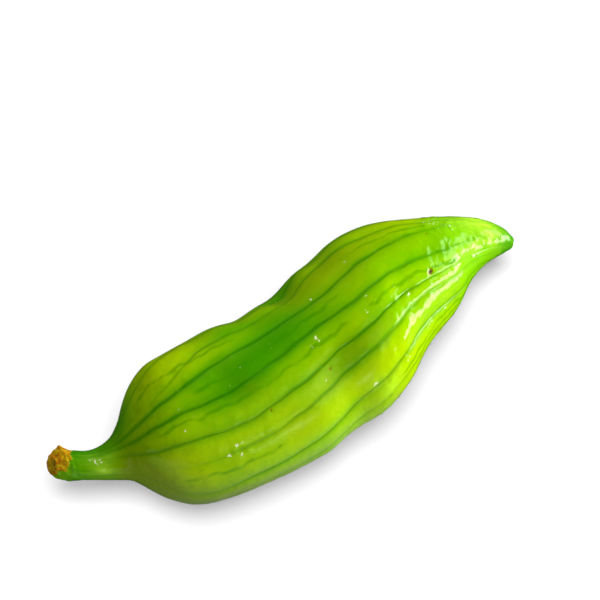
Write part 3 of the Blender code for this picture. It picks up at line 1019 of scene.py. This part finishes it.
@dataclass(frozen=True)
class SkinFinish:
    """Wet, glossy yellow-green skin with dark grooves, and tan cork at the stalk's end; its colour also holds
    painted glints, sheen, light and shade.
    """

    mid_green: Colour = (0.19, 0.55, 0.0, 1.0)
    ripe_yellow: Colour = (0.42, 0.67, 0.0, 1.0)
    deep_green: Colour = (0.03, 0.28, 0.0, 1.0)
    groove_green: Colour = (0.02, 0.22, 0.0, 1.0)
    # Olive laid over dents and the underside, mostly as painted shade.
    olive_and_painted_shade: Colour = (0.22, 0.32, 0.0, 1.0)
    beak_green: Colour = (0.19, 0.58, 0.0, 1.0)
    neck_green: Colour = (0.24, 0.62, 0.0, 1.0)
    # Colour of the painted sheen, and of the painted halo round the glints.
    painted_sheen_green: Colour = (0.5, 0.92, 0.04, 1.0)
    pale_speck: Colour = (0.5, 0.75, 0.1, 1.0)
    # Colour of the painted glints.
    glint: Colour = (0.95, 1.0, 0.6, 1.0)
    scar_rim: Colour = (0.24, 0.16, 0.0, 1.0)
    scar_brown: Colour = (0.055, 0.02, 0.0, 1.0)
    cork_tan: Colour = (0.88, 0.6, 0.006, 1.0)
    cork_orange: Colour = (0.78, 0.25, 0.002, 1.0)
    cork_dark: Colour = (0.08, 0.03, 0.002, 1.0)
    pit_brown: Colour = (0.25, 0.22, 0.002, 1.0)
    sheen_tint: Colour = (0.7, 1.0, 0.42, 1.0)
    roughness: float = 0.05
    cork_roughness: float = 0.75
    # How much yellow patches, partly ripe tint and partly painted light, make the skin yellow, then broad,
    # medium and fine mottle, streaks and crests.
    yellow_patch_share: float = 0.7
    ripe_shares: tuple[float, ...] = (0.16, 0.16, 0.08, 0.12, 0.14)
    unripe_patch: float = 0.5
    # Where the beak's own green comes in and the neck's fades out, by x.
    beak: Pair = (44.0, 66.0)
    neck: Pair = (-62.0, -50.0)
    # Where the shoulder's dark strands fade out and the duller belly comes in, by x, and the belly's side,
    # in metres across.
    strands: Pair = (-52.0, -36.0)
    belly: Pair = (8.0, 24.0)
    belly_side: Pair = (-0.018, -0.008)
    fibre_stretch: tuple[float, float, float] = (0.13, 1.0, 1.0)
    # Scale and share of each size of ripple, then the relief's depth in metres.
    ripples: Pairs = ((240.0, 0.5), (520.0, 0.35), (1150.0, 0.14))
    relief_strength: float = 0.6
    relief_depth: float = 0.0002
    refraction: float = 1.45

    def material(self) -> bpy.types.Material:
        """Make the skin's material.

        Returns:
            The material, which reads the skin's own attributes and its Object coordinates.
        """
        material, net, shader = new_material("cucumber_skin")
        mottle, line, specks = mottle_effect(), line_effect(), speck_effect()
        place = net.node("ShaderNodeTexCoord").outputs["Object"]
        stretch = {"Vector": net.attribute("flow"), "Scale": self.fibre_stretch}
        flow = net.node("ShaderNodeMapping", stretch).outputs[0]
        groove, darkness, vein = net.split(net.attribute("lines"))
        yellow, green, olive_and_painted_shade = net.split(net.attribute("zones"))
        scar, glint, cork = net.split(net.attribute("marks"))
        pale, crest, along = net.split(net.attribute("form"))
        broad = net.use(mottle, Vector=place, Scale=75.0)
        medium = net.use(mottle, Vector=place, Scale=260.0, Low=0.3, High=0.7)
        fine = net.use(mottle, Vector=place, Scale=1100.0, Low=0.3, High=0.7)
        streak = net.use(mottle, Vector=flow, Scale=520.0, Low=0.3, High=0.7)

        # Ground colour: from mid green to ripe yellow, by patch, crest, mottle and fibre streaks; some yellow
        # patches are painted light on the lit shoulder bump, the shoulder's underside and the lower right ribs.
        ripe = net.times(yellow, self.yellow_patch_share)
        for source, share in zip((broad, medium, fine, streak, crest), self.ripe_shares):
            ripe = net.plus(ripe, source, share)
        ripe = net.plus(ripe, green, -self.unripe_patch, clamp=True)
        ground = net.mix(ripe, self.mid_green, self.ripe_yellow)
        strands = net.times(net.span(along, *self.strands, 0.3, 0.0), net.span(streak, 0.45, 0.9))
        # Painted sheen: pale streaks where the pale patches lie.
        painted_sheen = net.times(pale, net.plus(0.35, streak, 0.7), clamp=True)

        # Grooves: a wide green shade, then the dark line itself; veins are thinner and paler.
        wobble = net.times(net.math("SUBTRACT", streak, 0.5), 0.5)
        shade = net.use(line, Distance=groove, Wobble=wobble, Core=0.1, Edge=2.6, Strength=darkness)
        core = net.use(line, Distance=groove, Wobble=wobble, Core=0.05, Edge=0.85, Strength=darkness)
        thin = net.use(line, Distance=vein, Wobble=wobble, Core=0.05, Edge=0.9)

        # Specks, painted glints with ragged edges and a pale painted halo, and scars.
        dots = net.use(specks, Vector=place, Scale=420.0, Size=0.16, Missing=0.72)
        ragged = net.plus(glint, net.math("SUBTRACT", fine, 0.5), 0.9)
        wound = net.span(scar, 0.35, 0.75)

        # Cork, with a ragged edge on the green skin; the olive patches darken its lower edge as painted shade.
        bark = net.use(mottle, Vector=place, Scale=700.0, Low=0.36, High=0.64)
        crumbs = net.use(mottle, Vector=place, Scale=1700.0, Low=0.4, High=0.6)
        pit = net.span(cork, 4.1, 4.9)
        tan = net.cover(
            net.mix(bark, self.cork_orange, self.cork_tan),
            ((crumbs, 0.35, self.cork_dark), (pit, 1.0, self.pit_brown), (olive_and_painted_shade, 0.6, self.cork_dark)),
        )
        corky = net.span(net.plus(cork, net.math("SUBTRACT", bark, 0.5), 0.7), -0.25, 0.35)
        # Beak and neck greens, strands and green patches are the skin's colour; olive is mostly painted shade,
        # the pale streaks a painted sheen, and the glints with their halos painted highlights.
        layers = (
            (net.span(along, *self.beak), 0.8, self.beak_green),
            (net.span(along, *self.neck, 1.0, 0.0), 0.7, self.neck_green),
            (strands, 1.0, self.deep_green),
            (green, 0.7, self.deep_green),
            (olive_and_painted_shade, 0.6, self.olive_and_painted_shade),
            (painted_sheen, 1.0, self.painted_sheen_green),
            (shade, 0.35, self.deep_green),
            (core, 0.7, self.groove_green),
            (thin, 0.5, self.deep_green),
            (dots, 0.35, self.pale_speck),
            (net.span(glint, 0.65, 1.3), 0.4, self.painted_sheen_green),
            (net.span(ragged, 0.88, 1.15), 1.0, self.glint),
            (net.span(scar, 0.12, 0.4), 1.0, self.scar_rim),
            (wound, 1.0, self.scar_brown),
            (corky, 1.0, tan),
        )
        net.feed(shader.inputs["Base Color"], net.cover(ground, layers))

        # The belly's front side is duller, and cork and wounds are dry.
        front = net.span(net.split(place)[1], *self.belly_side, 0.2, 0.0)
        belly = net.times(net.span(along, *self.belly, 1.0, 0.0), front)
        rough = net.plus(self.roughness, medium, 0.04)
        for mask, amount in ((shade, 0.1), (wound, 0.5), (belly, 1.0)):
            rough = net.plus(rough, mask, amount)
        net.feed(shader.inputs["Roughness"], net.plus(rough, corky, self.cork_roughness, clamp=True))

        # Smooth ripples only, so that mirrored lights stay crisp and their edges ragged.
        height = net.times(dots, 0.25)
        for scale, share in self.ripples:
            ripple = net.use(mottle, Vector=place, Scale=scale, Low=0.2, High=0.8, Detail=0.0)
            height = net.plus(height, ripple, share)
        height = net.plus(height, net.times(corky, crumbs), 1.5)
        relief = {"Strength": self.relief_strength, "Distance": self.relief_depth, "Height": height}
        net.feed(shader.inputs["Normal"], net.node("ShaderNodeBump", relief).outputs["Normal"])
        net.fill(shader, {"Specular Tint": self.sheen_tint, "IOR": self.refraction})
        return material


class Receiver(Enum):
    """What lamps light."""

    FRUIT = "fruit"
    FLOOR = "floor"


Receivers = dict[Receiver, bpy.types.Collection]


def toward(azimuth: float, elevation: float) -> Vector:
    """Direction seen from the fruit: degrees round from -Y towards +X, and degrees up."""
    turn, lift = math.radians(azimuth), math.radians(elevation)
    return Vector((math.sin(turn) * math.cos(lift), -math.cos(turn) * math.cos(lift), math.sin(lift)))


@dataclass(frozen=True)
class Lamp:
    """A light: its name, its direction and distance from the fruit, and its power."""

    name: str
    azimuth: float
    elevation: float
    distance: float
    power: float

    def place(self, kind: str, lit: bpy.types.Collection) -> Piece:
        """Place a bare light, aimed at the fruit.

        Args:
            kind: Which of Blender's lights it is.
            lit: The collection that it lights.

        Returns:
            The light.
        """
        deselect_all()
        way = toward(self.azimuth, self.elevation)
        bpy.ops.object.light_add(type=kind, location=way * self.distance)
        lamp = bpy.context.active_object
        lamp.name = self.name
        lamp.rotation_euler = way.to_track_quat("Z", "Y").to_euler()
        lamp.data.energy = self.power
        lamp.light_linking.receiver_collection = lit
        return lamp


@dataclass(frozen=True)
class Softbox(Lamp):
    """A soft rectangular light on the fruit: its size, and whether the fruit mirrors it."""

    width: float
    height: float
    mirrored: bool = False

    def build(self, receivers: Receivers) -> None:
        """Make the light.

        Args:
            receivers: The collection of what each kind of lamp lights.
        """
        lamp = self.place("AREA", receivers[Receiver.FRUIT])
        lamp.data.shape = "RECTANGLE"
        lamp.data.size = self.width
        lamp.data.size_y = self.height
        lamp.visible_glossy = self.mirrored


@dataclass(frozen=True)
class Skylight(Lamp):
    """Broad even light on the floor from far away, with its spread in degrees."""

    spread: float

    def build(self, receivers: Receivers) -> None:
        """Make the light."""
        self.place("SUN", receivers[Receiver.FLOOR]).data.angle = math.radians(self.spread)


@dataclass(frozen=True)
class Studio:
    """Pale floor, soft light and the camera."""

    floor_size: float = 6.0
    floor_colour: Colour = (0.93, 0.93, 0.93, 1.0)
    floor_roughness: float = 0.7
    floor_specular: float = 0.1
    floor_grain: float = 900.0
    floor_relief: Pair = (0.05, 0.0001)
    backdrop_strength: float = 1.0
    sky_strength: float = 0.16
    mirrored_sky: float = 0.006
    # How bright the floor's painted reflection glows in the fruit: everywhere, and more in front of its stalk
    # end.
    mirrored_floor: Pair = (0.01, 0.6)
    lamps: tuple[Any, ...] = (
        Softbox("main", 60.0, 45.0, 0.9, 5.6, 0.5, 0.5),
        Softbox("low_side", 84.0, -16.0, 0.9, 4.5, 0.5, 0.3),
        Softbox("left_front", -60.0, 4.0, 0.9, 1.7, 0.4, 0.4),
        Softbox("window", 73.0, -6.0, 0.8, 6.0, 0.36, 0.46, mirrored=True),
        Softbox("far_window", 93.0, 14.0, 0.8, 0.55, 0.32, 0.17, mirrored=True),
        Softbox("sparkle", 6.0, 24.0, 0.8, 0.4, 0.1, 0.1, mirrored=True),
        Softbox("fill", 168.0, 28.0, 0.9, 4.0, 0.6, 0.6),
        Skylight("floor_light", -10.0, 79.0, 1.0, 2.4, 38.0),
        Skylight("floor_fill", -30.0, 50.0, 1.0, 1.05, 60.0),
    )
    view_azimuth: float = -29.5
    view_elevation: float = 58.0
    view_distance: float = 0.452
    view_target: tuple[float, float, float] = (0.01481, 0.02821, 0.0)
    lens: float = 85.0
    sensor_width: float = 36.0

    def build_floor(self) -> Piece:
        """Lay the floor, which the fruit mirrors only dimly.

        Returns:
            The floor, which isn't part of the fruit.
        """
        deselect_all()
        bpy.ops.mesh.primitive_plane_add(size=self.floor_size, location=(0.0, 0.0, 0.0))
        floor = bpy.context.active_object
        floor.name = "floor"
        floor.visible_diffuse = False
        floor.visible_shadow = False
        material, net, shader = new_material("pale_floor")
        net.fill(shader, {"Base Color": self.floor_colour, "Roughness": self.floor_roughness})
        net.feed(shader.inputs["Specular IOR Level"], self.floor_specular)
        place = net.node("ShaderNodeTexCoord").outputs["Object"]
        grain = net.node("ShaderNodeTexNoise", {"Vector": place, "Scale": self.floor_grain}).outputs["Fac"]
        strength, depth = self.floor_relief
        bump = net.node("ShaderNodeBump", {"Strength": strength, "Distance": depth, "Height": grain})
        net.feed(shader.inputs["Normal"], bump.outputs["Normal"])
        faint, front = self.mirrored_floor
        along, across, _ = net.split(place)
        # Painted reflection: to glossy rays the floor is a glow set by place, not its lit colour.
        glow = net.times(net.span(across, 0.0, -0.06, 0.0, front), net.span(along, 0.045, 0.0))
        mirrored = net.node("ShaderNodeEmission", {"Strength": net.math("ADD", glow, faint)})
        glossy = net.node("ShaderNodeLightPath").outputs["Is Glossy Ray"]
        either = net.node("ShaderNodeMixShader", {0: glossy, 1: shader.outputs[0], 2: mirrored.outputs[0]})
        net.feed(material.node_tree.nodes["Material Output"].inputs["Surface"], either.outputs[0])
        floor.data.materials.append(material)
        return floor

    def light_sky(self) -> None:
        """Fill the room with faint even light behind a white backdrop."""
        world = bpy.data.worlds.new("studio")
        world.use_nodes = True
        bpy.context.scene.world = world
        net = Wiring(world.node_tree)
        background = world.node_tree.nodes["Background"]
        background.inputs["Color"].default_value = (1.0, 1.0, 1.0, 1.0)
        rays = net.node("ShaderNodeLightPath").outputs
        strength = self.sky_strength
        for kind, level in (("Is Glossy Ray", self.mirrored_sky), ("Is Camera Ray", self.backdrop_strength)):
            inputs = {"Value": rays[kind], "To Min": strength, "To Max": level}
            strength = net.node("ShaderNodeMapRange", inputs).outputs["Result"]
        net.feed(background.inputs["Strength"], strength)

    def place_camera(self) -> None:
        """Set the camera where the photograph was taken from."""
        back = toward(self.view_azimuth, self.view_elevation)
        deselect_all()
        bpy.ops.object.camera_add()
        camera = bpy.context.active_object
        camera.name = "camera"
        camera.data.lens = self.lens
        camera.data.sensor_width = self.sensor_width
        camera.data.clip_start = 0.01
        turn = math.radians(self.view_azimuth)
        side = Vector((math.cos(turn), math.sin(turn), 0.0))
        axes = Matrix((side, back.cross(side), back)).transposed()
        place = Matrix.Translation(Vector(self.view_target) + back * self.view_distance)
        camera.matrix_world = place @ axes.to_4x4()
        bpy.context.scene.camera = camera

    def build(self, fruit: Piece) -> None:
        """Build the whole studio.

        Args:
            fruit: The piece that the lamps for the fruit light.
        """
        receivers = {kind: bpy.data.collections.new(f"lit_{kind.value}") for kind in Receiver}
        receivers[Receiver.FRUIT].objects.link(fruit)
        fruit.visible_diffuse = False
        receivers[Receiver.FLOOR].objects.link(self.build_floor())
        self.light_sky()
        for lamp in self.lamps:
            lamp.build(receivers)
        self.place_camera()
        bpy.context.scene.view_settings.view_transform = "Standard"


def main() -> None:
    """Build the fruit, then the studio round it."""
    logging.basicConfig(level=logging.INFO)
    skin = FruitSkin(FruitForm(), SkinDetail()).build(SkinFinish())
    log.info("%s has %d faces", skin.name, len(skin.data.polygons))
    Studio().build(skin)
    log.info("studio is lit")


if __name__ == "__main__":
    main()
